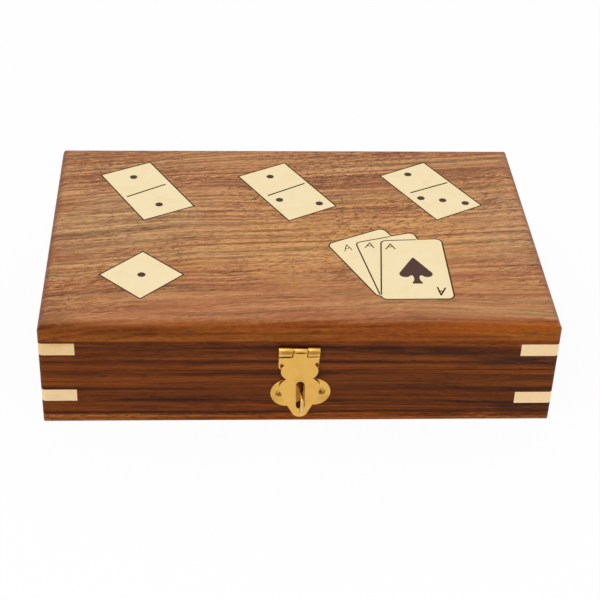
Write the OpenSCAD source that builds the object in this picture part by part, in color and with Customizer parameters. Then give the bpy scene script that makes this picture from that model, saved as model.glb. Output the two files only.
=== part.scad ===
// Storage box for dominoes, a deck of cards and dice, in two mitred wooden frames.
// The lid turns on two butt hinges at the back and closes with a pierced brass hasp.
// Millimetres, +Z up, hasp towards -Y. Origin: middle of the case, on the surface below it.

/* [Case] */
// Width of the case, left to right
case_w = 190; // [180:1:220]
// Depth of the case, front to back
case_d = 128; // [120:1:150]
// Thickness of the side rails
rail_t = 8; // [7:0.5:10]
// Thickness of the bottom board
bottom_t = 4; // [3:0.5:8]
// Height of the lower rails
base_rail_h = 20; // [19.5:0.5:40]
// Height of the lid's rails
lid_rail_h = 13.2; // [12.4:0.2:25]
// Thickness of the lid's board
top_t = 7.5; // [5:0.5:12]
// Gap along the lid line when the box is shut
lid_gap = 0.3; // [0.2:0.05:0.6]
// Rounding along the upper edge of the lid's board
top_edge_r = 3.8; // [1:0.2:4.6]
// Rounding along the lower edge of the bottom board
bottom_edge_r = 1.2; // [0.4:0.2:2]
// Rounding of the four upright corners
corner_r = 1.5; // [0.5:0.25:2]
// Open glue line at each mitre
mitre_gap = 0.1; // [0.05:0.05:0.3]

/* [Compartments] */
// Width of a card in the deck
card_w = 63.5; // [56:0.5:66]
// Length of a card in the deck
card_l = 89; // [80:0.5:90]
// Spare room round the deck in its well
well_spare = 2.5; // [1:0.5:4]
// Thickness of the dividers
divider_t = 4; // [3:0.5:6]
// Height of the dividers
divider_h = 17; // [10:0.5:19]
// Depth of the grooves that house the dividers' ends
housing_depth = 2; // [1:0.5:3]
// Play of a divider in its groove, on each side
housing_fit = 0.05; // [0.02:0.01:0.1]

/* [Corner strips] */
// Thickness of the brass strips let into the corners
strip_t = 0.8; // [0.5:0.1:1.5]
// Height of a corner strip
strip_h = 5.2; // [3:0.1:6.5]
// Length of a left strip along each face
left_strip_l = 13.1; // [8:0.1:20]
// Length of a right strip along each face
right_strip_l = 14.1; // [8:0.1:20]
// Height of the lid's strips above the middle of its rails
lid_strip_rise = 2.6; // [0:0.1:3]
// Depth of the lower strips below the middle of their rails
base_strip_drop = 2.1; // [0:0.1:4]
// How far the left strips of the lid sit above its mean line, and the right ones below
lid_strip_skew = 0.5; // [0:0.1:0.8]
// How far the left strips of the base sit above their mean line, and the right ones below
base_strip_skew = 1; // [0:0.1:1.5]

/* [Inlays] */
// Thickness of the inlaid brass sheet
inlay_t = 1; // [0.6:0.1:2]
// Glue line round each inlay
inlay_gap = 0.2; // [0.05:0.05:0.4]
// Width of an inlaid domino
domino_w = 22; // [16:0.2:26]
// Length of an inlaid domino
domino_l = 39; // [34:0.2:44]
// Turn of the dominoes from the front edge
domino_turn = 29.5; // [0:0.1:45]
// Distance of the outer dominoes' middles from the ends of the lid
domino_inset = 37.1; // [32:0.1:42]
// Shift of the whole row of dominoes to the right
domino_row_shift = -0.5; // [-4:0.1:4]
// Distance of the row of dominoes from the back of the lid
domino_back = 35.3; // [31:0.1:44]
// Length of the line across a domino
domino_line_l = 18.2; // [10:0.2:21]
// Width of the line across a domino
domino_line_w = 0.7; // [0.3:0.1:1]
// Radius of a pip
pip_r = 1.5; // [0.8:0.1:2]
// Radius of the pip on the die
die_pip_r = 1.5; // [0.8:0.1:3]
// Depth of the pips, the lines and the spade in the sheet
fill_t = 0.5; // [0.3:0.1:0.5]
// Side of the inlaid die
die_side = 21.8; // [14:0.2:26]
// Distance of the die's middle from the left end of the lid
die_left = 36.5; // [24:0.5:50]
// Distance of the die's middle from the front of the lid
die_front = 31.8; // [24:0.2:36]
// Rounding of the cards' corners
card_corner_r = 2.3; // [1:0.1:3]
// Width of the lines that part the cards
card_line_w = 0.5; // [0.3:0.1:1]
// Distance of the corner that the cards fan out from, from the right end of the lid
fan_right = 64.7; // [55:0.1:80]
// Distance of that corner from the front of the lid
fan_front = 15.7; // [10:0.1:20]
// Width of the spade
spade_w = 12.6; // [8:0.1:15]
// Height of the spade's head
spade_head_h = 13.2; // [8:0.1:16]
// Height of the spade's stem
spade_stem_h = 4.3; // [2:0.1:6]

/* [Hasp] */
// Place of the hasp's barrel, left to right
hasp_x = -0.5; // [-4:0.1:4]
// Height of the hasp's pin above the lid line
hasp_rise = 10.2; // [8:0.05:10.5]
// Thickness of the hasp's sheet
sheet_t = 0.6; // [0.5:0.05:0.7]
// Width of the fixed leaf
leaf_w = 14.8; // [14:0.2:18]
// Length of the hasp's barrel
barrel_l = 15; // [13:0.2:16]
// Length of the flap's own knuckle
flap_knuckle_l = 5.4; // [4:0.2:6]
// Shift of the flap's knuckle to the right
flap_knuckle_shift = 0.2; // [-0.5:0.1:0.5]
// Outer radius of the hasp's knuckles
hasp_knuckle_r = 1.15; // [1.1:0.05:1.3]
// Outer radius of the flap's own knuckle, rolled tighter
flap_knuckle_r = 0.88; // [0.85:0.01:1]
// Length of the leaf's rolled ends below the pin
tab_drop = 2.3; // [1.8:0.1:2.5]
// Radius of the hasp's pin
hasp_pin_r = 0.5; // [0.4:0.05:0.55]
// Distance of the barrel from the front of the case
hasp_stand = 0.25; // [0.2:0.05:0.4]
// Lean of the hand-cut flap to the right
flap_lean = 1.85; // [0:0.05:3]
// Half width of the flap's shoulders
shoulder_w = 7.4; // [6.5:0.1:8.5]
// Length of the left shoulder's upright edge
left_shoulder_h = 1.7; // [0.5:0.1:2.4]
// Length of the right shoulder's upright edge
right_shoulder_h = 0.5; // [0.5:0.1:2.4]
// Radius of the lobes below the shoulders
lobe_r = 3.95; // [3.7:0.05:4.2]
// Half width of the flap at its hips
hip_w = 7.5; // [7:0.1:7.8]
// Radius of the flap's round tip
tip_r = 3.05; // [2.6:0.05:3.4]
// Distance from the pin to the flap's tip
flap_l = 30.7; // [30.4:0.05:31.2]
// Length of the flap's slot
slot_l = 12.8; // [12.4:0.1:13]
// Width of the flap's slot
slot_w = 3.3; // [3:0.1:3.6]
// Distance from the pin to the middle of the slot
slot_drop = 20.55; // [20.35:0.05:20.9]
// Shift of the slot to the right in the flap
slot_shift = 0.25; // [-0.3:0.05:0.3]

/* [Staple] */
// Radius of the staple's wire
wire_r = 0.7; // [0.6:0.05:0.9]
// Outer height of the staple
staple_h = 8.5; // [8:0.1:8.9]
// Reach of the staple from the front of the case
staple_reach = 8.4; // [7.5:0.1:9]
// Radius of the staple's bends, at the middle of the wire
bend_r = 1.7; // [1.2:0.1:2.5]
// Depth of the staple's legs in the rail
leg_depth = 6; // [3:0.5:6.5]
// Distance of the staple's middle below the slot's
staple_drop = 1.3; // [0.5:0.1:1.4]
// Shift of the staple to the right in the slot
staple_shift = 0.35; // [-0.3:0.05:0.4]
// Radius of the plate's two lobes
plate_lobe_r = 6.15; // [5:0.05:6.6]
// Distance of each lobe from the middle of the plate
plate_lobe_x = 5; // [4:0.1:6]
// Distance of the plate's middle above the staple's
plate_rise = 1.7; // [0:0.1:2]
// Tilt of the plate, with its right end higher
plate_turn = 3; // [0:0.5:5]

/* [Fasteners] */
// Radius of the hasp nails' heads
nail_head_r = 0.95; // [0.8:0.05:1]
// Height of the hasp nails' domed heads
nail_head_h = 0.4; // [0.3:0.05:0.5]
// Radius of the dimple that each nail's head stands in
dimple_r = 1.2; // [1.1:0.05:1.3]
// Depth of the dimples in the sheet
dimple_depth = 0.3; // [0.2:0.05:0.35]
// Radius of the hasp nails
nail_r = 0.55; // [0.4:0.05:0.7]
// Length of the hasp nails
nail_l = 6; // [4:0.5:7]
// Distance of the plate's nails from its middle
plate_nail_x = 7.8; // [7.6:0.1:9]
// Distance of the leaf's nails from its middle
leaf_nail_x = 5.8; // [5:0.1:6]
// Height of the leaf's nails above its lower edge
leaf_nail_rise = 2.4; // [1.6:0.1:3]
// Radius of the hinge screws' heads
screw_head_r = 1.6; // [1.2:0.1:2]
// Radius of the hinge screws
screw_r = 0.8; // [0.6:0.05:1]
// Length of the hinge screws
screw_l = 8; // [5:0.5:10]
// Play of screws, nails and staple legs in their holes
fastener_fit = 0.05; // [0.02:0.01:0.1]

/* [Hinges] */
// Length of each hinge
hinge_l = 25; // [20:0.5:40]
// Distance of each hinge's middle from the end of the case
hinge_inset = 38; // [25:1:60]
// Reach of the leaves into the rails
hinge_leaf_w = 6.5; // [5:0.5:6.5]
// Thickness of the hinge leaves
hinge_leaf_t = 0.9; // [0.8:0.05:1.2]
// Outer radius of the hinge knuckles
hinge_knuckle_r = 1.6; // [1.4:0.1:2]
// Radius of the hinge pins
hinge_pin_r = 0.8; // [0.6:0.05:0.9]
// Distance of the barrels from the back of the case
hinge_stand = 0.3; // [0.25:0.05:0.6]
// Knuckles in a hinge, an odd number
hinge_knuckles = 5; // [3:2:7]
// Distance of the screws from a hinge's middle
hinge_screw_x = 8; // [5:0.5:9]
// Gap between one knuckle and the next
knuckle_gap = 0.15; // [0.1:0.05:0.3]
// Play between a pin and its knuckles
pin_fit = 0.05; // [0.03:0.01:0.08]

/* [Hidden] */
$fn = 48;
eps = 0.01;
hair = 0.001;
over = 1;

// The whole case
inner_w = case_w - 2 * rail_t;
inner_d = case_d - 2 * rail_t;
front_y = -case_d / 2;
back_y = case_d / 2;
lid_line_z = bottom_t + base_rail_h;
lid_z = lid_line_z + lid_gap;
top_z = lid_z + lid_rail_h;
case_h = top_z + top_t;

// Compartments
card_divider_x = inner_w / 2 - card_w - well_spare - divider_t / 2;
domino_divider_x = (card_divider_x - divider_t / 2 - inner_w / 2) / 2;
dice_divider_y = -inner_d / 2 + card_l + well_spare + divider_t / 2;
divider_housing = divider_t + 2 * housing_fit;
// The dice divider's end goes a quarter of the way into the card divider
half_housing = divider_t / 4;

// Corner strips
lid_strip_z = lid_z + lid_rail_h / 2 + lid_strip_rise;
base_strip_z = bottom_t + base_rail_h / 2 - base_strip_drop;
strip_fit = 0.04;

// Inlays
domino_pitch = case_w / 2 - domino_inset;
domino_row_x = domino_row_shift;
domino_row_y = case_d / 2 - domino_back;
die_x = die_left - case_w / 2;
die_y = die_front - case_d / 2;
fan_x = case_w / 2 - fan_right;
fan_y = fan_front - case_d / 2;
// Each hand-set tile: [its shift and its turn in the row, its line's middle and turn, its pips]
tile_faces = [
    [[0.1, 0.05], -1.4, [-0.3, 0], 4.7, [[-0.2, 12], [-0.6, -12.1]]],
    [[-0.9, -0.3], -0.1, [0.5, 1.1], 2.8, [[0.1, 13.1], [-6.2, -4.5], [6.4, -14.7]]],
    [[0.2, 0.35], 0, [0.9, 2], -2.7, [[-0.4, 15], [-6.9, -3.1], [-0.1, -8.8], [6.6, -15.1]]]
];
// The three cards, back to front, by their corners from the corner they fan out from
fan_cards = [
    [[-0.5, 0.5], [19, 20], [4.9, 48.3], [-17.5, 36.9]],
    [[0.1, 0.4], [25, 8], [16.6, 45.3], [-6.6, 38]],
    [[-0.1, 0], [27, 0.3], [27, 40.6], [3.5, 39.5]]
];
spade_x = fan_x + 14.6;
spade_y = fan_y + 14.3;
spade_lobe_r = 2.15;
spade_neck_w = 2;
spade_foot_w = 3.8;
fill_fit = 0.03;

// Hasp, measured from its pin
hasp_z = lid_line_z + lid_gap / 2 + hasp_rise;
hasp_y = front_y - hasp_stand - hasp_knuckle_r;
flap_back = 0.1;
flap_y = hasp_y + flap_back - sheet_t;
flap_neck_w = flap_knuckle_l - 0.3;
// Length of the fixed leaf's knuckle on the left (-1) or right (1)
function side_knuckle_l(s) = (barrel_l - flap_knuckle_l) / 2 - s * flap_knuckle_shift - knuckle_gap;
leaf_bottom_z = lid_z + 0.2;
leaf_corner_r = 2;
shoulder_drop = 3.05;
// The leaf's sheet where it is rolled over the pin and ends in front: thickness and reach before the pin
tab_t = 0.38;
tab_reach = 0.98;
tab_corner_r = 0.4;
notch_w = 5.45;
notch_drop = 6.45;
lobe_drop = 9.35;
lobe_x = 2.9;
waist_w = 4.7;
waist_drop = 14.35;
// The flap below its waist: circles down one side, by place and radius
hip_circles = [
    [[3.95, -13.85], 1.5],
    [[hip_w - 4.5, -17.1], 4.5],
    [[2.05, -23.55], 3.05],
    [[0, tip_r - flap_l], tip_r]
];

// Staple
staple_x = hasp_x + slot_drop * sin(flap_lean) + slot_shift + staple_shift;
staple_z = hasp_z - slot_drop * cos(flap_lean) - staple_drop;
staple_leg_z = staple_h / 2 - wire_r;
plate_x = staple_x - 0.25;
plate_z = staple_z + plate_rise;
plate_bridge_h = 8;

// Hinges
hinge_x = case_w / 2 - hinge_inset;
hinge_y = back_y + hinge_stand + hinge_knuckle_r;
hinge_z = lid_line_z + lid_gap / 2;
hinge_screw_y = back_y - hinge_leaf_w / 2;
mortise_fit = 0.05;
screw_slot_w = 0.5;
screw_slot_depth = 0.35;

wood_dark = "#5b2c14";
wood_light = "#b07a4c";
wood_plain = "#8a5a35";
brass = "#dbab58";
brass_pale = "#f0dfae";
filler = "#4a3428";

// Flat shapes

// A rectangle about the origin with round corners
module round_rect(size, r) {
    square([size[0] - 2 * r, size[1]], center = true);
    square([size[0], size[1] - 2 * r], center = true);
    for (sx = [-1, 1], sy = [-1, 1])
        translate([sx * (size[0] / 2 - r), sy * (size[1] / 2 - r)]) circle(r);
}

// Two circles and the straight flanks that touch both.
// The flanks lie a hair inside the circles, so that each crosses them cleanly.
module taper(a, ra, b, rb) {
    span = b - a;
    turn = atan2(span[1], span[0]);
    lean = acos((ra - rb) / norm(span));
    fa = ra - hair;
    fb = rb - hair;
    translate(a) circle(ra);
    translate(b) circle(rb);
    polygon([
        a + fa * [cos(turn + lean), sin(turn + lean)],
        a + fa * [cos(turn - lean), sin(turn - lean)],
        b + fb * [cos(turn - lean), sin(turn - lean)],
        b + fb * [cos(turn + lean), sin(turn + lean)]
    ]);
}

// A convex outline given by its corners, anticlockwise, with each corner rounded.
// grow moves the whole outline outwards.
function unit(v) = v / norm(v);
function cross_z(a, b) = a[0] * b[1] - a[1] * b[0];
function rounded_outline(corners, r, grow = 0, steps = 6) = [
    for (i = [0:len(corners) - 1])
        let (
            p = corners[i],
            from = unit(corners[(i + len(corners) - 1) % len(corners)] - p),
            onto = unit(corners[(i + 1) % len(corners)] - p),
            centre = p + (from + onto) * r / abs(cross_z(from, onto)),
            start = atan2(from[0], -from[1]),
            stop = atan2(-onto[0], onto[1]),
            sweep = (stop - start + 720) % 360
        )
        for (k = [0:steps]) centre + (r + grow) * [cos(start + sweep * k / steps), sin(start + sweep * k / steps)]
];

// The outline of the case from above
module case_plan() round_rect([case_w, case_d], corner_r);

// A board as large as the case, rounded along its outer edge: upwards, or downwards if turned over
module board(h, r) {
    intersection() {
        linear_extrude(h) case_plan();
        rotate([90, 0, 0]) linear_extrude(case_d + 2 * over, center = true) edge_profile(case_w, h, r);
        rotate([90, 0, 90]) linear_extrude(case_w + 2 * over, center = true) edge_profile(case_d, h, r);
    }
}

module edge_profile(w, h, r) {
    translate([-w / 2, 0]) square([w, h - r]);
    translate([-w / 2 + r, 0]) square([w - 2 * r, h]);
    for (s = [-1, 1]) translate([s * (w / 2 - r), h - r]) circle(r);
}

// Side rails

// One rail of a frame: side is "front", "back", "left" or "right"
module rail(side, h) {
    long = side == "front" || side == "back";
    back = side == "back" || side == "right";
    run = long ? case_w : case_d;
    across = long ? case_d : case_w;
    turn = (long ? 0 : -90) + (back ? 180 : 0);
    trim = long ? mitre_gap : 0;
    reach = rail_t + over;
    intersection() {
        linear_extrude(h) difference() {
            case_plan();
            square([inner_w, inner_d], center = true);
        }
        translate([0, 0, -over]) linear_extrude(h + 2 * over) rotate(turn) translate([0, -across / 2]) polygon([
            [-run / 2 + trim, 0],
            [run / 2 - trim, 0],
            [run / 2 - trim - reach, reach],
            [-run / 2 + trim + reach, reach]
        ]);
    }
}

module base_rail(side) color(wood_dark) difference() {
    translate([0, 0, bottom_t]) rail(side, base_rail_h);
    corner_strips(base_strip_z, base_strip_skew, strip_fit);
}

module lid_rail(side) color(wood_dark) difference() {
    translate([0, 0, lid_z]) rail(side, lid_rail_h);
    corner_strips(lid_strip_z, lid_strip_skew, strip_fit);
}

module base_front_rail() color(wood_dark) difference() {
    base_rail("front");
    divider_grooves();
    staple_wire(fastener_fit);
    plate_nails(fastener_fit);
}

module base_back_rail() color(wood_dark) difference() {
    base_rail("back");
    divider_grooves();
    for (s = [-1, 1]) {
        hinge_mortise(s);
        hinge_screws(s, -1, fastener_fit);
    }
}

module base_left_rail() base_rail("left");

module base_right_rail() color(wood_dark) difference() {
    base_rail("right");
    dice_divider_block(housing_fit);
}

module lid_front_rail() color(wood_dark) difference() {
    lid_rail("front");
    leaf_nails(fastener_fit);
}

module lid_back_rail() color(wood_dark) difference() {
    lid_rail("back");
    for (s = [-1, 1]) {
        hinge_mortise(s);
        hinge_screws(s, 1, fastener_fit);
    }
}

module lid_left_rail() lid_rail("left");

module lid_right_rail() lid_rail("right");

// Boards

module bottom_board() color(wood_light)
    translate([0, 0, bottom_t]) mirror([0, 0, 1]) board(bottom_t, bottom_edge_r);

module lid_top_board() color(wood_light) difference() {
    translate([0, 0, top_z]) board(top_t, top_edge_r);
    inlay_pocket() {
        for (i = [0:2]) domino_plan(i, inlay_gap);
        die_plan(inlay_gap);
        fan_plan(inlay_gap);
    }
}

// Compartments

module divider_grooves() {
    for (x = [card_divider_x, domino_divider_x])
        translate([x, 0, 0]) linear_extrude(bottom_t + divider_h + housing_fit)
            square([divider_housing, inner_d + 2 * housing_depth], center = true);
}

module long_divider(x) {
    length = inner_d + 2 * housing_depth - 2 * housing_fit;
    translate([x, 0, bottom_t]) linear_extrude(divider_h) square([divider_t, length], center = true);
}

// The dice divider, made larger by fit for its grooves
module dice_divider_block(fit) {
    x0 = card_divider_x + divider_t / 2 - half_housing;
    x1 = inner_w / 2 + housing_depth;
    translate([x0 - fit, dice_divider_y - divider_t / 2 - fit, bottom_t - fit])
        cube([x1 - x0 + 2 * fit, divider_t + 2 * fit, divider_h + 2 * fit]);
}

module card_divider() color(wood_plain) difference() {
    long_divider(card_divider_x);
    dice_divider_block(housing_fit);
}

module domino_divider() color(wood_plain) long_divider(domino_divider_x);

module dice_divider() color(wood_plain) dice_divider_block(0);

// Corner strips

// The four strips of one frame, made larger by fit for their recesses
module corner_strips(z, skew, fit = 0) {
    inset = strip_t + fit;
    lengths = [left_strip_l, right_strip_l];
    for (sx = [-1, 1])
        translate([0, 0, z - sx * skew - strip_h / 2 - fit]) linear_extrude(strip_h + 2 * fit)
            intersection() {
                difference() {
                    case_plan();
                    round_rect([case_w - 2 * inset, case_d - 2 * inset], max(corner_r - inset, 0.1));
                }
                for (sy = [-1, 1]) translate([sx * case_w / 2, sy * case_d / 2])
                    square(2 * (lengths[(sx + 1) / 2] + fit), center = true);
            }
}

module base_corner_strips() color(brass_pale) corner_strips(base_strip_z, base_strip_skew);

module lid_corner_strips() color(brass_pale) corner_strips(lid_strip_z, lid_strip_skew);

// Inlays

module inlay_pocket() translate([0, 0, case_h - inlay_t]) linear_extrude(inlay_t + over) children();

module inlay_sheet() translate([0, 0, case_h - inlay_t]) linear_extrude(inlay_t) children();

module fill_sheet() translate([0, 0, case_h - fill_t]) linear_extrude(fill_t) children();

module fill_pocket() translate([0, 0, case_h - fill_t]) linear_extrude(fill_t + over) children();

function tile_x(i) = domino_row_x + (i - 1) * domino_pitch;

module on_tile(i) translate([tile_x(i), domino_row_y] + tile_faces[i][0])
    rotate(domino_turn + tile_faces[i][1]) children();

module domino_plan(i, grow = 0) on_tile(i) square([domino_w + 2 * grow, domino_l + 2 * grow], center = true);

module tile_pips(i, fit = 0) on_tile(i) for (p = tile_faces[i][4]) translate(p) circle(pip_r + fit);

module tile_line(i, fit = 0) on_tile(i) translate(tile_faces[i][2]) rotate(tile_faces[i][3])
    square([domino_line_l + 2 * fit, domino_line_w + 2 * fit], center = true);

module domino_inlay(i) color(brass_pale) difference() {
    inlay_sheet() domino_plan(i);
    fill_pocket() {
        tile_pips(i, fill_fit);
        tile_line(i, fill_fit);
    }
}

module domino_inlay_left() domino_inlay(0);

module domino_inlay_middle() domino_inlay(1);

module domino_inlay_right() domino_inlay(2);

module die_plan(grow = 0) translate([die_x, die_y]) rotate(45) square(die_side + 2 * grow, center = true);

module die_pip(fit = 0) translate([die_x, die_y]) circle(die_pip_r + fit);

module die_inlay() color(brass_pale) difference() {
    inlay_sheet() die_plan();
    fill_pocket() die_pip(fill_fit);
}

module inlay_pips() color(filler) fill_sheet() {
    for (i = [0:2]) tile_pips(i);
    die_pip();
}

module domino_lines() color(filler) fill_sheet() for (i = [0:2]) tile_line(i);

// One card of the fan: 0 is the rearmost
module card_plan(i, grow = 0) translate([fan_x, fan_y])
    polygon(rounded_outline(fan_cards[i], card_corner_r, grow));

module fan_plan(grow = 0) for (i = [0:2]) card_plan(i, grow);

// The line along a card's edge, where it lies over the card behind
module card_line(i, fit = 0) intersection() {
    difference() {
        card_plan(i, card_line_w / 2 + fit);
        card_plan(i, -card_line_w / 2 - fit);
    }
    card_plan(i - 1, fit - 0.5);
}

module spade_plan(fit = 0) {
    lobe_x = spade_w / 2 - spade_lobe_r;
    peak = [0, spade_head_h - spade_lobe_r - 0.4];
    translate([spade_x, spade_y + spade_lobe_r]) {
        taper([-lobe_x, 0], spade_lobe_r + fit, peak, 0.4 + fit);
        taper([lobe_x, 0], spade_lobe_r + fit, peak, 0.4 + fit);
        polygon([[-lobe_x, 0], [lobe_x, 0], peak]);
        translate([-lobe_x, -spade_lobe_r / 2]) square([2 * lobe_x, spade_lobe_r / 2 + eps]);
    }
    translate([spade_x, spade_y]) difference() {
        translate([-spade_foot_w / 2 - fit, -spade_stem_h - fit])
            square([spade_foot_w + 2 * fit, spade_stem_h + spade_lobe_r]);
        for (s = [-1, 1])
            translate([s * (spade_neck_w / 2 + spade_stem_h), -spade_stem_h * 0.2])
                circle(spade_stem_h - fit);
    }
}

module card_fan_inlay() color(brass_pale) difference() {
    inlay_sheet() fan_plan();
    fill_pocket() {
        spade_plan(fill_fit);
        card_line(1, fill_fit);
        card_line(2, fill_fit);
    }
}

module spade_inlay() color(filler) fill_sheet() spade_plan();

module card_lines() color(filler) fill_sheet() {
    card_line(1);
    card_line(2);
}

// Hasp

// Stands a flat shape up, drawn in X and Z, with its front t before y
module upright(y, t) translate([0, y + t, 0]) rotate([90, 0, 0]) linear_extrude(t) children();

// A length of round bar or bore along X about its middle
module along_x(r, l) rotate([0, 90, 0]) cylinder(r = r, h = l, center = true);

module hasp_leaf() color(brass) difference() {
    union() {
        upright(front_y - sheet_t, sheet_t) difference() {
            union() {
                translate([hasp_x, (hasp_z + leaf_bottom_z + leaf_corner_r) / 2])
                    square([leaf_w, hasp_z - leaf_bottom_z - leaf_corner_r], center = true);
                translate([hasp_x, leaf_bottom_z + leaf_corner_r])
                    round_rect([leaf_w, 2 * leaf_corner_r], leaf_corner_r - eps);
            }
            translate([hasp_x + flap_knuckle_shift, hasp_z])
                square([flap_knuckle_l + 2 * knuckle_gap, 2 * (hasp_knuckle_r + 2 * knuckle_gap)], center = true);
        }
        for (s = [-1, 1]) translate([hasp_x + s * (barrel_l - side_knuckle_l(s)) / 2, hasp_y, hasp_z]) {
            along_x(hasp_knuckle_r, side_knuckle_l(s));
            upright(-tab_reach, tab_t) translate([0, -tab_drop / 2])
                round_rect([side_knuckle_l(s) - 0.1, tab_drop], tab_corner_r);
        }
    }
    translate([hasp_x, hasp_y, hasp_z]) along_x(hasp_pin_r + pin_fit, leaf_w + over);
    leaf_nails(fastener_fit);
    at_leaf_nails() dimple();
}

module hasp_pin() color(brass) translate([hasp_x, hasp_y, hasp_z]) along_x(hasp_pin_r, barrel_l);

// The flap's outline, drawn down from its pin at the origin
module flap_plan() rotate(flap_lean) difference() {
    union() {
        translate([flap_knuckle_shift - flap_neck_w / 2, -shoulder_drop - over])
            square([flap_neck_w, shoulder_drop + over]);
        polygon([
            [-shoulder_w, -shoulder_drop],
            [-shoulder_w, -shoulder_drop - left_shoulder_h],
            [-notch_w, -notch_drop],
            [notch_w, -notch_drop],
            [shoulder_w, -shoulder_drop - right_shoulder_h],
            [shoulder_w, -shoulder_drop]
        ]);
        translate([-waist_w, -waist_drop]) square([2 * waist_w, waist_drop - notch_drop + over]);
        for (s = [-1, 1]) {
            translate([s * lobe_x, -lobe_drop]) circle(lobe_r);
            for (i = [0:2])
                taper(on_side(s, i), hip_circles[i][1], on_side(s, i + 1), hip_circles[i + 1][1]);
        }
        polygon([for (i = [0:3]) on_side(-1, i), for (i = [2:-1:0]) on_side(1, i)]);
    }
    translate([slot_shift, -slot_drop])
        taper([0, (slot_l - slot_w) / 2], slot_w / 2, [0, (slot_w - slot_l) / 2], slot_w / 2);
}

// The middle of a hip circle, on the left (-1) or right (1)
function on_side(s, i) = [s * hip_circles[i][0][0], hip_circles[i][0][1]];

module hasp_flap() color(brass) difference() {
    union() {
        upright(flap_y, sheet_t) translate([hasp_x, hasp_z]) flap_plan();
        translate([hasp_x + flap_knuckle_shift, hasp_y, hasp_z]) along_x(flap_knuckle_r, flap_knuckle_l);
    }
    translate([hasp_x, hasp_y, hasp_z]) along_x(hasp_pin_r + pin_fit, barrel_l + over);
}

// A round-headed nail driven along +Y through a sheet whose face is at the origin
module nail(fit = 0) translate([0, dimple_depth, 0]) {
    dome_r = (nail_head_r * nail_head_r + nail_head_h * nail_head_h) / (2 * nail_head_h);
    rotate([-90, 0, 0]) cylinder(r = nail_r + fit, h = nail_l + fit);
    if (fit == 0)
        intersection() {
            translate([0, dome_r - nail_head_h, 0]) sphere(dome_r);
            translate([-nail_head_r - over, -nail_head_h - over, -nail_head_r - over])
                cube([2 * nail_head_r + 2 * over, nail_head_h + over, 2 * nail_head_r + 2 * over]);
        }
}

// The dimple that a nail's head stands in
module dimple() rotate([-90, 0, 0]) translate([0, 0, -over]) cylinder(r = dimple_r, h = dimple_depth + over);

module at_leaf_nails()
    for (s = [-1, 1])
        translate([hasp_x + s * leaf_nail_x, front_y - sheet_t, leaf_bottom_z + leaf_nail_rise]) children();

module leaf_nails(fit = 0) at_leaf_nails() nail(fit);

module hasp_leaf_nails() color(brass) leaf_nails();

// Staple and its plate

module at_plate_nails()
    translate([plate_x, front_y - sheet_t, plate_z]) rotate([0, -plate_turn, 0])
        for (s = [-1, 1]) translate([s * plate_nail_x, 0, 0]) children();

module plate_nails(fit = 0) at_plate_nails() nail(fit);

module staple_nails() color(brass) plate_nails();

module staple_plate() color(brass) difference() {
    upright(front_y - sheet_t, sheet_t) translate([plate_x, plate_z]) rotate(plate_turn) {
        square([2 * plate_lobe_x, plate_bridge_h], center = true);
        for (s = [-1, 1]) translate([s * plate_lobe_x, 0]) circle(plate_lobe_r);
    }
    staple_wire(fastener_fit);
    plate_nails(fastener_fit);
    at_plate_nails() dimple();
}

// The bent wire, made thicker by fit for its holes
module staple_wire(fit = 0) {
    r = wire_r + fit;
    bend_y = front_y - staple_reach + wire_r + bend_r;
    leg_end = front_y + leg_depth + fit;
    bar = 2 * (staple_leg_z - bend_r);
    translate([staple_x, bend_y, staple_z]) {
        for (up = [0, 1]) mirror([0, 0, up]) {
            translate([0, 0, staple_leg_z]) rotate([-90, 0, 0]) cylinder(r = r, h = leg_end - bend_y);
            translate([0, 0, bar / 2]) rotate([90, 0, -90])
                rotate_extrude(angle = 90) translate([bend_r, 0]) circle(r);
        }
        translate([0, -bend_r, 0]) cylinder(r = r, h = bar, center = true);
    }
}

module staple() color(brass) staple_wire();

// Hinges

// One leaf of a hinge; up is 1 for the lid's leaf and -1 for the lower one
module hinge_leaf(s, up) color(brass) difference() {
    mine = up > 0 ? 1 : 0;
    knuckle_pitch = hinge_l / hinge_knuckles;
    leaf_z = hinge_z + up * (lid_gap / 2 + hinge_leaf_t / 2);
    union() {
        difference() {
            translate([s * hinge_x, (back_y - hinge_leaf_w + hinge_y) / 2, leaf_z])
                cube([hinge_l, hinge_y - back_y + hinge_leaf_w, hinge_leaf_t], center = true);
            for (i = [0:hinge_knuckles - 1]) if (i % 2 != mine)
                translate([s * hinge_x + (i - (hinge_knuckles - 1) / 2) * knuckle_pitch, hinge_y, hinge_z])
                    cube([knuckle_pitch + knuckle_gap, 2 * (hinge_knuckle_r + knuckle_gap), 4 * hinge_knuckle_r], center = true);
        }
        for (i = [0:hinge_knuckles - 1]) if (i % 2 == mine)
            translate([s * hinge_x + (i - (hinge_knuckles - 1) / 2) * knuckle_pitch, hinge_y, hinge_z])
                along_x(hinge_knuckle_r, knuckle_pitch - knuckle_gap);
    }
    translate([s * hinge_x, hinge_y, hinge_z]) along_x(hinge_pin_r + pin_fit, hinge_l + over);
    hinge_screws(s, up, fastener_fit);
}

// The recesses for both leaves of a hinge
module hinge_mortise(s)
    translate([s * hinge_x, back_y - hinge_leaf_w - mortise_fit, hinge_z - lid_gap / 2 - hinge_leaf_t])
        translate([-hinge_l / 2 - mortise_fit, 0, 0])
            cube([hinge_l + 2 * mortise_fit, hinge_leaf_w + mortise_fit + over, lid_gap + 2 * hinge_leaf_t]);

// The screws of one leaf, with their heads flush with it
module hinge_screws(s, up, fit = 0)
    for (sx = [-1, 1])
        translate([s * hinge_x + sx * hinge_screw_x, hinge_screw_y, hinge_z + up * lid_gap / 2])
            mirror([0, 0, up < 0 ? 1 : 0]) screw(fit);

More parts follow.
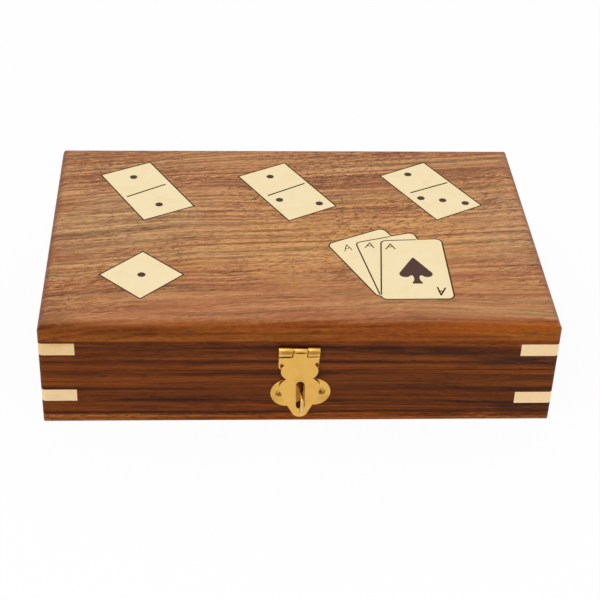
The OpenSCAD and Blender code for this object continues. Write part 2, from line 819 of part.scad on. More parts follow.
// A countersunk screw driven along +Z from the face of its head
module screw(fit = 0) {
    head_h = screw_head_r - screw_r;
    difference() {
        union() {
            translate([0, 0, fit > 0 ? -over : 0])
                cylinder(r = screw_r + fit, h = screw_l - screw_r + fit + (fit > 0 ? over : 0));
            cylinder(r1 = screw_head_r + fit, r2 = screw_r + fit - eps, h = head_h);
            translate([0, 0, screw_l - screw_r + fit - eps])
                cylinder(r1 = screw_r + fit - eps, r2 = 0.1, h = screw_r);
        }
        if (fit == 0)
            translate([0, 0, screw_slot_depth / 2 - over / 2])
                cube([2 * screw_head_r + over, screw_slot_w, screw_slot_depth + over], center = true);
    }
}

module left_hinge_base_leaf() hinge_leaf(-1, -1);

module right_hinge_base_leaf() hinge_leaf(1, -1);

module left_hinge_lid_leaf() hinge_leaf(-1, 1);

module right_hinge_lid_leaf() hinge_leaf(1, 1);

module hinge_base_screws() color(brass) for (s = [-1, 1]) hinge_screws(s, -1);

module hinge_lid_screws() color(brass) for (s = [-1, 1]) hinge_screws(s, 1);

module hinge_pins() color(brass) for (s = [-1, 1])
    translate([s * hinge_x, hinge_y, hinge_z]) along_x(hinge_pin_r, hinge_l);

bottom_board();
base_front_rail();
base_back_rail();
base_left_rail();
base_right_rail();
card_divider();
domino_divider();
dice_divider();
base_corner_strips();
staple_plate();
staple();
staple_nails();
left_hinge_base_leaf();
right_hinge_base_leaf();
hinge_base_screws();
hinge_pins();
lid_top_board();
lid_front_rail();
lid_back_rail();
lid_left_rail();
lid_right_rail();
lid_corner_strips();
domino_inlay_left();
domino_inlay_middle();
domino_inlay_right();
die_inlay();
card_fan_inlay();
spade_inlay();
inlay_pips();
domino_lines();
card_lines();
hasp_leaf();
hasp_leaf_nails();
hasp_pin();
left_hinge_lid_leaf();
right_hinge_lid_leaf();
hinge_lid_screws();
hasp_flap();
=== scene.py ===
"""Dresses the domino storage box: its woods, inlaid brass sheet, lac and brass fittings."""

import logging
import math
from dataclasses import dataclass, field, replace
from enum import Enum
from typing import Any, Optional, Sequence, Union

import bmesh
import bpy
from mathutils import Matrix, Vector


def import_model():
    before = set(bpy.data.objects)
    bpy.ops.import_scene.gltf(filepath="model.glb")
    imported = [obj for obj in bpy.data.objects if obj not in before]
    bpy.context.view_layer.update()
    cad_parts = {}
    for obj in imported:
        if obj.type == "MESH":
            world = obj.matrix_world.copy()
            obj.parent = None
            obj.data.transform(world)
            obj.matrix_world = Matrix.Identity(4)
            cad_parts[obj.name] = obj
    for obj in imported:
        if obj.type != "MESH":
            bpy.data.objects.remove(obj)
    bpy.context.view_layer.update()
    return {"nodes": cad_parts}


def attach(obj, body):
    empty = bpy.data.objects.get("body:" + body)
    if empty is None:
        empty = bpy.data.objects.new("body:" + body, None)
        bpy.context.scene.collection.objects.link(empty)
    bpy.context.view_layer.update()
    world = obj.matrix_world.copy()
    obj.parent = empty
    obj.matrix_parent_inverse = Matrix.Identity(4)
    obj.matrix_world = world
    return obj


log = logging.getLogger("domino_box")

Colour = tuple[int, int, int]
Point2 = tuple[float, float]
Point3 = tuple[float, float, float]
Operand = Union["Term", float, Sequence[float]]

MM = 0.001
SAME_PLACE = 0.000002
SAME_LEVEL = 0.00001
WHITE = (1.0, 1.0, 1.0, 1.0)


class Grain(Enum):
    """The direction in which a board's grain runs."""

    ALONG_X = "x"
    ALONG_Y = "y"


class Blend(Enum):
    """How one colour is laid over another."""

    COVER = "MIX"
    DARKEN = "MULTIPLY"


def linear(colour: Colour) -> tuple[float, float, float, float]:
    """The colour as light, from its 0 to 255 screen values."""
    parts = [c / 255 for c in colour]
    return (*[c / 12.92 if c <= 0.04045 else ((c + 0.055) / 1.055) ** 2.4 for c in parts], 1.0)


class Term:
    """A socket of a shader, on which arithmetic adds Math and Vector Math nodes."""

    def __init__(self, shader: "Shader", socket: bpy.types.NodeSocket) -> None:
        """Keeps the socket and the shader that it belongs to."""
        self.shader = shader
        self.socket = socket

    def math(self, operation: str, *operands: Operand) -> "Term":
        """Adds one node of arithmetic.

        Args:
            operation: the node's operation.
            operands: what it works on, in order.

        Returns:
            The node's result.
        """
        flat = self.socket.type == "VALUE"
        kind = "ShaderNodeMath" if flat else "ShaderNodeVectorMath"
        return self.shader.add(kind, {"operation": operation}, dict(enumerate(operands)))

    def __add__(self, other: Operand) -> "Term":
        """The sum."""
        return self.math("ADD", self, other)

    __radd__ = __add__

    def __sub__(self, other: Operand) -> "Term":
        """The difference."""
        return self.math("SUBTRACT", self, other)

    def __rsub__(self, other: Operand) -> "Term":
        """The difference, the other way round."""
        return self.math("SUBTRACT", other, self)

    def __mul__(self, other: Operand) -> "Term":
        """The product."""
        return self.math("MULTIPLY", self, other)

    __rmul__ = __mul__

    def __truediv__(self, other: Operand) -> "Term":
        """The quotient."""
        return self.math("DIVIDE", self, other)

    def __rtruediv__(self, other: Operand) -> "Term":
        """The quotient, the other way round."""
        return self.math("DIVIDE", other, self)

    def __pow__(self, other: Operand) -> "Term":
        """The power."""
        return self.math("POWER", self, other)

    def __rpow__(self, other: Operand) -> "Term":
        """The power, the other way round."""
        return self.math("POWER", other, self)

    def __abs__(self) -> "Term":
        """The size without its sign."""
        return self.math("ABSOLUTE", self)

    def cosine(self) -> "Term":
        """The cosine."""
        return self.math("COSINE", self)

    def highest(self, other: Operand) -> "Term":
        """The greater of the two."""
        return self.math("MAXIMUM", self, other)

    def step(self, low: float, high: float) -> "Term":
        """A smooth rise from 0 to 1.

        Args:
            low: where the rise starts.
            high: where it ends.

        Returns:
            The risen value.
        """
        settings = {"interpolation_type": "SMOOTHSTEP"}
        values = {"Value": self, "From Min": low, "From Max": high}
        return self.shader.add("ShaderNodeMapRange", settings, values)


Spot = tuple[Term, Term, Term]


class Shader:
    """The node tree of a material or of the world."""

    MIX_UNDER = 6
    MIX_OVER = 7
    MIX_RESULT = 2

    def __init__(self, owner: Union[bpy.types.Material, bpy.types.World]) -> None:
        """Empties the owner's node tree and keeps both.

        Args:
            owner: the material or the world.
        """
        owner.use_nodes = True
        self.owner = owner
        self.tree = owner.node_tree
        self.tree.nodes.clear()

    @classmethod
    def material(cls, name: str) -> "Shader":
        """Starts a material of that name."""
        return cls(bpy.data.materials.new(name))

    def add(
        self,
        kind: str,
        settings: Optional[dict[str, Any]] = None,
        inputs: Optional[dict[Union[str, int], Operand]] = None,
        output: Union[str, int] = 0,
    ) -> Term:
        """Adds a node of any type.

        Args:
            kind: the node's type.
            settings: the node's own settings, set first; "stops" are a ramp's.
            inputs: a value or a link for each socket, by name or place.
            output: the name or place of the result.

        Returns:
            The node's result.
        """
        node = self.tree.nodes.new(kind)
        for key, value in (settings or {}).items():
            if key == "stops":
                for place, colour in value:
                    node.color_ramp.elements.new(place).color = colour
                for spare in (0, -1):
                    node.color_ramp.elements.remove(node.color_ramp.elements[spare])
            else:
                setattr(node, key, value)
        for key, value in (inputs or {}).items():
            if isinstance(value, Term):
                self.tree.links.new(value.socket, node.inputs[key])
            else:
                node.inputs[key].default_value = value
        return Term(self, node.outputs[output])

    def beside(self, term: Term, output: Union[str, int]) -> Term:
        """Another result of the node that a term comes from."""
        return Term(self, term.socket.node.outputs[output])

    def place(self) -> Spot:
        """Finds the point that is being coloured.

        Returns:
            The point's place on the part at rest, in millimetres, as x, y and z.
        """
        metres = self.add("ShaderNodeTexCoord", output="Object")
        scaled = self.add(
            "ShaderNodeVectorMath", {"operation": "SCALE"}, {0: metres, "Scale": 1 / MM}
        )
        x = self.add("ShaderNodeSeparateXYZ", inputs={0: scaled})
        return x, self.beside(x, "Y"), self.beside(x, "Z")

    def noise(
        self, at: Sequence[Operand], detail: float = 2.0, rough: float = 0.5, twist: float = 0.0
    ) -> Term:
        """Soft noise, mostly between 0.3 and 0.7.

        Args:
            at: the point's x, y and z, already scaled so that one unit is one blotch.
            detail: how many finer layers there are.
            rough: how strong the finer layers are.
            twist: how far the blotches are pulled about.

        Returns:
            The noise.
        """
        values = {
            "Vector": self.add("ShaderNodeCombineXYZ", inputs=dict(enumerate(at))),
            "Scale": 1.0,
            "Detail": detail,
            "Roughness": rough,
            "Distortion": twist,
        }
        return self.add("ShaderNodeTexNoise", {"noise_dimensions": "3D"}, values)

    def lay(
        self, share: Operand, under: Operand, over: Operand, how: Blend = Blend.COVER
    ) -> Term:
        """One colour over another.

        Args:
            share: how much of the upper one shows.
            under: the lower colour.
            over: the upper colour.
            how: the way they mix.

        Returns:
            The mixed colour.
        """
        settings = {"data_type": "RGBA", "blend_type": how.value, "clamp_factor": True}
        values = {0: share, self.MIX_UNDER: under, self.MIX_OVER: over}
        return self.add("ShaderNodeMix", settings, values, output=self.MIX_RESULT)

    def patches(
        self, colour: Term, clouds: Sequence["Cloud"], here: Spot, ragged: Term
    ) -> Term:
        """Patches of other tones over a colour.

        Args:
            colour: the colour under them.
            clouds: the patches, in the order in which they are laid.
            here: the point, as x, y and z.
            ragged: noise that frays the patches' borders.

        Returns:
            The colour with its patches.
        """
        for cloud in clouds:
            colour = self.lay(cloud.shade(here, ragged), colour, linear(cloud.colour))
        return colour

    def bump(self, height: Term, depth: float, strength: float) -> Term:
        """The normal of a surface whose height varies by that depth in metres."""
        values = {"Strength": strength, "Distance": depth, "Height": height}
        return self.add("ShaderNodeBump", inputs=values)

    def finish(self, values: dict[Union[str, int], Operand]) -> bpy.types.Material:
        """Ends the tree with a surface shader.

        Args:
            values: the surface shader's sockets.

        Returns:
            The finished material.
        """
        self.end(self.add("ShaderNodeBsdfPrincipled", inputs=values))
        return self.owner

    def end(self, surface: Term, kind: str = "ShaderNodeOutputMaterial") -> None:
        """Links the surface to the tree's output."""
        self.tree.links.new(surface.socket, self.tree.nodes.new(kind).inputs["Surface"])


@dataclass(frozen=True)
class Cloud:
    """A patch of another tone, such as dark heartwood or a golden bloom in the wood, tarnish on the
    brass, or painted shade and painted highlights on the hasp.

    Attributes:
        at: its middle, in millimetres.
        reach: how far it goes along x, y and z, in millimetres.
        share: how much of it shows in its core.
        colour: its colour, where it has one.
        fray: how ragged its border is.
        core: the part of its reach in which it shows fully.
    """

    at: Point3
    reach: Point3
    share: float
    colour: Colour = (0, 0, 0)
    fray: float = 1.4
    core: float = 0.2

    def shade(self, here: Spot, ragged: Term) -> Term:
        """How strongly the patch shows at a point.

        Args:
            here: the point, as x, y and z.
            ragged: noise that frays the patch's border.

        Returns:
            The patch's share.
        """
        parts = [((a - c) / r) ** 2.0 for a, c, r in zip(here, self.at, self.reach)]
        far = (parts[0] + parts[1] + parts[2]) ** 0.5 + (ragged - 0.5) * self.fray
        return (1.0 - far.step(self.core, 1.0)) * self.share


@dataclass(frozen=True)
class Mottle:
    """Noise drawn out along the grain, with its scales in blotches per millimetre.

    Attributes:
        along: the scale along the grain.
        across: the scale across it.
        detail: how many finer layers there are.
        rough: how strong the finer layers are.
        seed: what sets it apart from the other noises of a board.
    """

    along: float
    across: float
    detail: float = 2.0
    rough: float = 0.5
    seed: float = 0.0

    def solid(self, shader: Shader, along: Term, across: Term, deep: Term) -> Term:
        """The noise at a point of solid wood.

        Args:
            shader: the board's node tree.
            along: the place along the grain.
            across: the place across the grain, level.
            deep: the place across the grain, upright.

        Returns:
            The noise.
        """
        at = (along * self.along, across * self.across, deep * self.across)
        return shader.noise(at, self.detail, self.rough)


@dataclass(frozen=True)
class Site:
    """A point of a board, by its place on the part and in the tree the board was cut from.

    Attributes:
        shader: the board's node tree.
        here: the place on the part, as x, y and z.
        along: the place along the grain.
        across: the place across the grain, level.
        deep: the place across the grain, upright.
        radius: the distance from the pith.
        ragged: the noise that bends the grain and frays borders.
        seed: what sets the board apart from the others.
    """

    shader: Shader
    here: Spot
    along: Term
    across: Term
    deep: Term
    radius: Term
    ragged: Term
    seed: float

    def rings(self, mottle: Mottle) -> Term:
        """Noise that follows the tree's rings.

        Args:
            mottle: the noise.

        Returns:
            Its value at the point.
        """
        seed = self.seed + mottle.seed
        at = (self.along * mottle.along, self.radius * mottle.across, seed)
        return self.shader.noise(at, mottle.detail, mottle.rough)

    def fibres(self, mottle: Mottle) -> Term:
        """Noise that follows the tree's fibres."""
        return mottle.solid(self.shader, self.along, self.across, self.deep)

    def patches(self, colour: Term, clouds: Sequence[Cloud]) -> Term:
        """Patches of other tones over a colour."""
        return self.shader.patches(colour, clouds, self.here, self.ragged)


@dataclass(frozen=True)
class Rim:
    """The worn, redder border of a board whose upper edge is rounded over.

    Attributes:
        half_x: half the board's length.
        half_y: half its width, to where its front edge is rounded.
        width: the border's width.
        colour: the tint that darkens the border.
        fray: how ragged the border's inner edge is.
    """

    half_x: float
    half_y: float
    width: float
    colour: Colour
    fray: float = 2.0

    def wear(self, colour: Term, site: Site) -> Term:
        """Darkens a colour towards the border.

        Args:
            colour: the colour.
            site: the point.

        Returns:
            The colour with its border.
        """
        x, y, _ = site.here
        edge = (abs(x) - self.half_x).highest(abs(y) - self.half_y)
        worn = (edge + (site.ragged - 0.5) * self.fray).step(-self.width, 0.0)
        return site.shader.lay(worn, colour, linear(self.colour), Blend.DARKEN)


# How the noises of all the woods are drawn out. The finish sets how wide the bands, the
# streaks and the hairs are.
SLOW_BEND = Mottle(along=0.010, across=0.018, detail=1.0)
QUICK_BEND = Mottle(along=0.045, across=0.09)
CROWDING = Mottle(along=0.018, across=0.05)
BROAD_BANDS = Mottle(along=0.004, across=1.0, detail=3.0, rough=0.6)
NARROW_BANDS = Mottle(along=0.011, across=2.6, rough=0.6, seed=2.0)
STREAKS = Mottle(along=0.007, across=1.0, detail=3.0, rough=0.65, seed=30.0)
LINE_WANDER = Mottle(along=0.006, across=0.11, seed=4.0)
LINE_FADE = Mottle(along=0.016, across=0.16, detail=3.0, rough=0.6, seed=9.0)
THREADS = Mottle(along=0.009, across=0.30, seed=20.0)
HAIRS = Mottle(along=0.10, across=1.0, detail=3.0, rough=0.8)
PORES = Mottle(along=0.40, across=1.5, detail=1.0)

# Between which values of its noise each layer comes in.
TONE_STOPS = (0.38, 0.47, 0.54, 0.64)
CROWDED = (0.35, 0.6)
DARK_STREAK = (0.50, 0.63)
LIGHT_STREAK = (0.37, 0.50)
FADED_LINE = (0.33, 0.62)
FINE_THREAD = (0.003, 0.022)
DARK_HAIR = (0.52, 0.62)
LIGHT_HAIR = (0.38, 0.48)
PORE_EDGE = 0.07

# Shares and depths that all the woods have in common.
BOARD_SPACING = 173.0
UPRIGHT_DRIFT = 0.6
BROAD_SHARE = 0.6
CALMEST = 0.5
LIGHT_HAIR_SHARE = 0.7
PORE_DEPTH = 0.6
HAIR_DEPTH = 0.25
PORE_ROUGHNESS = 0.12
HAIR_ROUGHNESS = 0.10
WOOD_RELIEF = 0.00007
WOOD_BUMP = 0.6


@dataclass(frozen=True)
class WoodFinish:
    """Oiled rosewood of one board. All lengths are in millimetres.

    Attributes:
        name: the finish's name.
        grain: the direction of the grain.
        tones: the colours of the bands, across the rings.
        line: the colour of the dark lines, streaks and fibres.
        glow: the colour of the light streaks and fibres.
        pore: the colour of the open pores.
        pith: where the tree's middle lies, across the grain and upwards.
        line_gap: the distance from one dark line to the next.
        line_share: how strong the dark lines are.
        streak: the streaks' scale across the rings.
        streak_share: how strong the streaks are.
        jitter: how unevenly the dark lines are spaced.
        sway: how far the grain bends slowly.
        curl: how far it bends quickly.
        fibre_share: how strong the fibres are.
        pore_share: how strong the pores are.
        pore_level: how rare the pores are.
        rough: the roughness between the pores.
        seed: what sets the board apart from the others.
        band: the width of a band of tone.
        line_shift: the distance of the first dark line from the pith.
        line_sharp: how narrow the dark lines are.
        thread_share: how strong the fine threads between the lines are.
        slope: how far the grain runs across the board, for its length.
        rise: how far it runs up through the board, for its length.
        stretch: the scale along the grain.
        fibre: the fibres' scale across the grain.
        gloss: the strength of the surface's shine.
        rim: the worn border.
        quiet: where streaks, fibres and pores are fainter.
        clouds: patches of another tone under the streaks.
        figure: patches over the streaks.
    """

    name: str
    grain: Grain
    tones: tuple[Colour, Colour, Colour, Colour]
    line: Colour
    glow: Colour
    pore: Colour
    pith: Point2
    line_gap: float
    line_share: float
    streak: float
    streak_share: float
    jitter: float
    sway: float
    curl: float
    fibre_share: float
    pore_share: float
    pore_level: float
    rough: float
    seed: float
    band: float = 6.0
    line_shift: float = 0.0
    line_sharp: float = 4.0
    thread_share: float = 0.5
    slope: float = 0.0
    rise: float = 0.0
    stretch: float = 1.0
    fibre: float = 1.25
    gloss: float = 0.1
    rim: Optional[Rim] = None
    quiet: Optional[Cloud] = None
    clouds: tuple[Cloud, ...] = ()
    figure: tuple[Cloud, ...] = ()

    def site(self, sh: Shader) -> Site:
        """Finds where a point of the board was in the tree.

        Args:
            sh: the board's node tree.

        Returns:
            The point.
        """
        here = sh.place()
        x, y, z = here
        run, level = (x, y) if self.grain is Grain.ALONG_X else (y, x)
        along = run * self.stretch + self.seed * BOARD_SPACING
        slow = SLOW_BEND.solid(sh, along, level, z)
        quick = QUICK_BEND.solid(sh, along, level, z)
        drift = (slow - 0.5) * self.sway + (quick - 0.5) * self.curl - run * self.slope
        across = level + drift
        deep = z + drift * UPRIGHT_DRIFT + run * self.rise
        radius = ((across - self.pith[0]) ** 2.0 + (deep - self.pith[1]) ** 2.0) ** 0.5
        return Site(sh, here, along, across, deep, radius, quick, self.seed)

    def bands(self, site: Site) -> Term:
        """The bands of tone, and the patches that lie on them.

        Args:
            site: the point.

        Returns:
            The colour.
        """
        broad = site.rings(replace(BROAD_BANDS, across=BROAD_BANDS.across / self.band))
        narrow = site.rings(replace(NARROW_BANDS, across=NARROW_BANDS.across / self.band))
        stops = [(place, linear(tone)) for place, tone in zip(TONE_STOPS, self.tones)]
        level = broad * BROAD_SHARE + narrow * (1 - BROAD_SHARE)
        colour = site.shader.add("ShaderNodeValToRGB", {"stops": stops}, {0: level})
        return site.patches(colour, self.clouds)

    def streaks(self, site: Site, colour: Term, lively: Operand) -> Term:
        """Dark and light streaks, and the patches that lie over them.

        Args:
            site: the point.
            colour: the colour under them.
            lively: how strong they are there.

        Returns:
            The colour.
        """
        lay = site.shader.lay
        streak = site.rings(replace(STREAKS, across=self.streak))
        bold = lively * self.streak_share
        colour = lay(streak.step(*DARK_STREAK) * bold, colour, linear(self.line))
        colour = lay((1.0 - streak.step(*LIGHT_STREAK)) * bold, colour, linear(self.glow))
        return site.patches(colour, self.figure)

    def lines(self, site: Site, colour: Term) -> Term:
        """The dark lines of the rings, and the fine threads between them.

        Args:
            site: the point.
            colour: the colour under them.

        Returns:
            The colour.
        """
        lay = site.shader.lay
        wander = (site.rings(LINE_WANDER) - 0.5) * self.jitter
        turn = (site.radius - self.line_shift) / self.line_gap + wander
        peak = ((turn * (2 * math.pi)).cosine() * 0.5 + 0.5) ** self.line_sharp
        fade = site.rings(LINE_FADE).step(*FADED_LINE)
        colour = lay(peak * fade * self.line_share, colour, linear(self.line))
        thread = abs(site.rings(THREADS) - 0.5)
        shown = (1.0 - thread.step(*FINE_THREAD)) * self.thread_share * fade
        return lay(shown, colour, linear(self.line))

    def build(self) -> bpy.types.Material:
        """Makes the board's material.

        Returns:
            Rings round a far pith, as bands of tone, streaks and lines, with fibres and pores.
        """
        sh = Shader.material(self.name)
        site = self.site(sh)
        lively = 1.0 - self.quiet.shade(site.here, site.ragged) if self.quiet else 1.0
        crowded = site.fibres(CROWDING).step(*CROWDED)
        stir = (crowded * (1 - CALMEST) + CALMEST) * lively
        colour = self.streaks(site, self.bands(site), lively)
        colour = self.lines(site, colour)
        hair = site.fibres(replace(HAIRS, across=self.fibre))
        dark = hair.step(*DARK_HAIR)
        bright = 1.0 - hair.step(*LIGHT_HAIR)
        light_share = self.fibre_share * LIGHT_HAIR_SHARE
        colour = sh.lay(dark * stir * self.fibre_share, colour, linear(self.line))
        colour = sh.lay(bright * stir * light_share, colour, linear(self.glow))
        if self.rim:
            colour = self.rim.wear(colour, site)
        pore = site.fibres(PORES).step(self.pore_level, self.pore_level + PORE_EDGE) * stir
        colour = sh.lay(pore * self.pore_share, colour, linear(self.pore))
        height = 1.0 - pore * PORE_DEPTH - dark * HAIR_DEPTH
        return sh.finish(
            {
                "Base Color": colour,
                "Roughness": dark * HAIR_ROUGHNESS + pore * PORE_ROUGHNESS + self.rough,
                "Normal": sh.bump(height, WOOD_RELIEF, WOOD_BUMP),
                "Specular IOR Level": self.gloss,
            }
        )


TARNISHED = (0.42, 0.72)
TARNISH_ROUGHNESS = 0.10
SPECKED = (0.62, 0.74)
SPECK_SCALE = 2.6
SPECK_SHARE = 0.4
RUB_SCALE = (9.0, 1.2, 1.2)
RUB_RELIEF = 0.000006
RUB_BUMP = 0.5


@dataclass(frozen=True)
class BrassFinish:
    """Sheet or wire brass with a light tarnish and a fine rub.

    Attributes:
        name: the finish's name.
        bright: the clean metal's colour.
        tarnish: the tarnish's colour.
        tarnish_share: how strong the tarnish is.
        blotch: the size of a blotch of tarnish, in millimetres.
        rough: the roughness between the blotches.
        rub: how much rougher the rub marks are.
        painted_light_and_tarnish: patches of painted shade, painted highlights and a painted dark
            reflection on the hasp, and of tarnish on the corner strips.
    """

    name: str
    bright: Colour
    tarnish: Colour
    tarnish_share: float
    blotch: float = 4.0
    rough: float = 0.30
    rub: float = 0.12
    painted_light_and_tarnish: tuple[Cloud, ...] = ()

    def build(self) -> bpy.types.Material:
        """Makes the metal's material.

        Returns:
            A blotchy tarnish with specks, fine rub marks, and patches over them: painted shade,
            painted highlights and a painted dark reflection on the hasp, and tarnish on the corner
            strips.
        """
        sh = Shader.material(self.name)
        here = sh.place()
        blotches = sh.noise([c / self.blotch for c in here], detail=4.0, rough=0.6, twist=0.6)
        mask = blotches.step(*TARNISHED)
        rubbed = sh.noise([c * s for c, s in zip(here, RUB_SCALE)], detail=3.0, rough=0.7)
        speck = sh.noise([c * SPECK_SCALE for c in here], rough=0.6).step(*SPECKED)
        speck_share = self.tarnish_share * SPECK_SHARE
        colour = sh.lay(mask * self.tarnish_share, linear(self.bright), linear(self.tarnish))
        colour = sh.lay(speck * speck_share, colour, linear(self.tarnish))
        # Patches over the metal: painted shade, painted highlights and a painted dark reflection on
        # the hasp's parts, and real tarnish on the corner strips.
        colour = sh.patches(colour, self.painted_light_and_tarnish, here, rubbed)
        smooth = self.rough - self.rub / 2
        return sh.finish(
            {
                "Base Color": colour,
                "Metallic": 1.0,
                "Roughness": mask * TARNISH_ROUGHNESS + rubbed * self.rub + smooth,
                "Normal": sh.bump(rubbed, RUB_RELIEF, RUB_BUMP),
            }
        )


MOTTLE_SCALE = 1.6
MOTTLED = (0.35, 0.7)
MOTTLE_SHARE = 0.6
MOTTLE_ROUGHNESS = 0.2
PIT_SCALE = 6.0
PITTED = (0.6, 0.75)
PIT_ROUGHNESS = 0.15
PIT_RELIEF = 0.00002
PIT_BUMP = 0.6
LAC_GLOSS = 0.1


@dataclass(frozen=True)
class LacFinish:
    """Dark lac, pressed into the cut and rubbed level.

    Attributes:
        name: the finish's name.
        body: the lac's colour.
        worn: its colour where it is rubbed.
        rough: its middle roughness.
    """

    name: str
    body: Colour
    worn: Colour
    rough: float = 0.48

    def build(self) -> bpy.types.Material:
        """Makes the filler's material.

        Returns:
            A mottled body with fine pits.
        """
        sh = Shader.material(self.name)
        here = sh.place()
        mottle = sh.noise([c * MOTTLE_SCALE for c in here], detail=4.0, rough=0.65)
        pit = sh.noise([c * PIT_SCALE for c in here]).step(*PITTED)
        share = mottle.step(*MOTTLED) * MOTTLE_SHARE
        smooth = self.rough - MOTTLE_ROUGHNESS / 2
        return sh.finish(
            {
                "Base Color": sh.lay(share, linear(self.body), linear(self.worn)),
                "Roughness": mottle * MOTTLE_ROUGHNESS + pit * PIT_ROUGHNESS + smooth,
                "Normal": sh.bump(1.0 - pit, PIT_RELIEF, PIT_BUMP),
                "Specular IOR Level": LAC_GLOSS,
            }
        )


Finish = Union[WoodFinish, BrassFinish, LacFinish]


@dataclass
class Workshop:
    """The loaded frame and the finishes that have been made for it.

    Attributes:
        nodes: the CAD nodes, by name.
        made: the finished materials, by name.
        sharp: the least turn of an edge that is broken, in degrees.
    """

    nodes: dict[str, bpy.types.Object]
    made: dict[str, bpy.types.Material] = field(default_factory=dict)
    sharp: float = 38.0

    def material(self, finish: Finish) -> bpy.types.Material:
        """Makes a finish's material once.

        Args:
            finish: the finish.

        Returns:
            Its material.
        """
        if finish.name not in self.made:
            self.made[finish.name] = finish.build()
        return self.made[finish.name]

    def dress(self, finish: Finish, *names: str) -> None:
        """Puts a finish on CAD nodes.

        Args:
            finish: the finish.
            names: the nodes' names.
        """
        material = self.material(finish)
        for name in names:
            for slot in self.nodes[name].material_slots:
                slot.material = material
            log.info("%s: %s", name, finish.name)

    def soften(self, width: float, *names: str) -> None:
        """Breaks the sharp edges of CAD nodes.

        Args:
            width: how wide each broken edge is, in millimetres.
            names: the nodes' names.
        """
        for name in names:
            piece = self.nodes[name]
            weld = piece.modifiers.new("join", "WELD")
            weld.merge_threshold = SAME_PLACE
            edge = piece.modifiers.new("broken_edge", "BEVEL")
            edge.width = width * MM
            edge.segments = 2
            edge.limit_method = "ANGLE"
            edge.angle_limit = math.radians(self.sharp)
            edge.harden_normals = True
            edge.use_clamp_overlap = True

    def piece(
        self,
        name: str,
        corners: Sequence[Point3],
        faces: Sequence[Sequence[int]],
        finish: Finish,
        body: str,
        slot: str,
    ) -> None:
        """Makes a new piece that rides with a body.

        Args:
            name: its name.
            corners: its corners, in millimetres.
            faces: its faces, as places in the list of corners.
            finish: its finish.
            body: the body that it rides on.
            slot: the record's slot for the piece; not used.
        """
        mesh = bpy.data.meshes.new(name)
        places = [tuple(c * MM for c in corner) for corner in corners]
        mesh.from_pydata(places, [], [tuple(face) for face in faces])
        mesh.validate()
        mesh.materials.append(self.material(finish))
        made = bpy.data.objects.new(name, mesh)
        bpy.context.scene.collection.objects.link(made)
        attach(made, body)
        log.info("%s: %d faces", name, len(faces))


# Tones of the patches in the boards, from dark to light.
HEART = (50, 27, 15)
SHADOW = (52, 24, 10)
SIENNA = (96, 42, 10)
UMBER = (96, 44, 14)
CHESTNUT = (110, 52, 20)
WALNUT = (112, 66, 34)
RUSSET = (120, 62, 30)
COPPER = (122, 62, 24)
TAN = (152, 88, 36)
AMBER = (204, 124, 66)
STRAW = (208, 166, 116)
SAND = (216, 170, 124)
HONEY = (244, 178, 104)

LID_WOOD = WoodFinish(
    name="lid_board_rosewood",
    grain=Grain.ALONG_X,
    tones=((150, 98, 64), (184, 113, 72), (200, 138, 88), (166, 125, 84)),
    line=(97, 55, 30),
    glow=(240, 184, 122),
    pore=(112, 64, 36),
    pith=(-140.0, -40.0),
    line_gap=3.9,
    line_share=0.35,
    streak=0.62,
    streak_share=0.5,
    jitter=2.6,
    sway=10.0,
    curl=1.8,
    fibre_share=0.7,
    pore_share=0.7,
    pore_level=0.56,
    rough=0.4,
    seed=1.0,
    band=9.0,
    slope=0.20,
    rise=0.29,
    fibre=1.45,
    rim=Rim(half_x=95.0, half_y=63.4, width=3.6, colour=(206, 164, 82)),
    quiet=Cloud(at=(10.0, -60.0, 45.0), reach=(170.0, 50.0, 300.0), share=0.62),
    clouds=(
        Cloud(at=(-60.0, -64.0, 39.6), reach=(110.0, 3.0, 3.4), share=0.3, colour=RUSSET),
        Cloud(at=(-24.0, -64.0, 40.9), reach=(80.0, 2.4, 0.9), share=0.5, colour=UMBER, fray=1.0),
        Cloud(at=(52.0, -64.0, 39.2), reach=(56.0, 2.4, 0.7), share=0.45, colour=UMBER, fray=1.0),
        Cloud(at=(20.0, -63.6, 43.4), reach=(64.0, 2.4, 0.9), share=0.5, colour=CHESTNUT, fray=1.0),
        Cloud(at=(10.0, -8.0, 45.0), reach=(95.0, 42.0, 300.0), share=0.46, colour=HONEY),
        Cloud(at=(-66.0, 6.0, 45.0), reach=(60.0, 36.0, 300.0), share=0.55, colour=STRAW),
        Cloud(at=(84.0, 4.0, 45.0), reach=(24.0, 44.0, 300.0), share=0.4, colour=SAND),
        Cloud(at=(-95.0, -52.0, 42.0), reach=(16.0, 30.0, 300.0), share=0.4, colour=WALNUT),
        Cloud(at=(-95.0, 0.0, 43.0), reach=(2.6, 130.0, 300.0), share=0.6, colour=COPPER, fray=1.0),
        Cloud(at=(-82.0, -63.4, 42.7), reach=(100.0, 2.2, 2.2), share=0.6, colour=SIENNA, fray=0.7),
        Cloud(at=(70.0, -63.4, 42.7), reach=(50.0, 2.6, 2.6), share=0.5, colour=AMBER, fray=1.0),
    ),
)

BOTTOM_WOOD = WoodFinish(
    name="bottom_board_rosewood",
    grain=Grain.ALONG_X,
    tones=((114, 50, 4), (138, 64, 8), (158, 78, 14), (130, 64, 12)),
    line=(62, 26, 4),
    glow=(192, 108, 44),
    pore=(56, 28, 12),
    pith=(0.0, -160.0),
    line_gap=2.6,
    line_share=0.5,
    streak=0.8,
    streak_share=0.7,
    jitter=2.0,
    sway=5.0,
    curl=1.5,
    fibre_share=0.5,
    pore_share=0.5,
    pore_level=0.57,
    rough=0.42,
    seed=5.0,
    band=4.0,
    clouds=(Cloud(at=(-84.0, -64.0, 2.0), reach=(66.0, 30.0, 30.0), share=0.7, colour=TAN),),
)

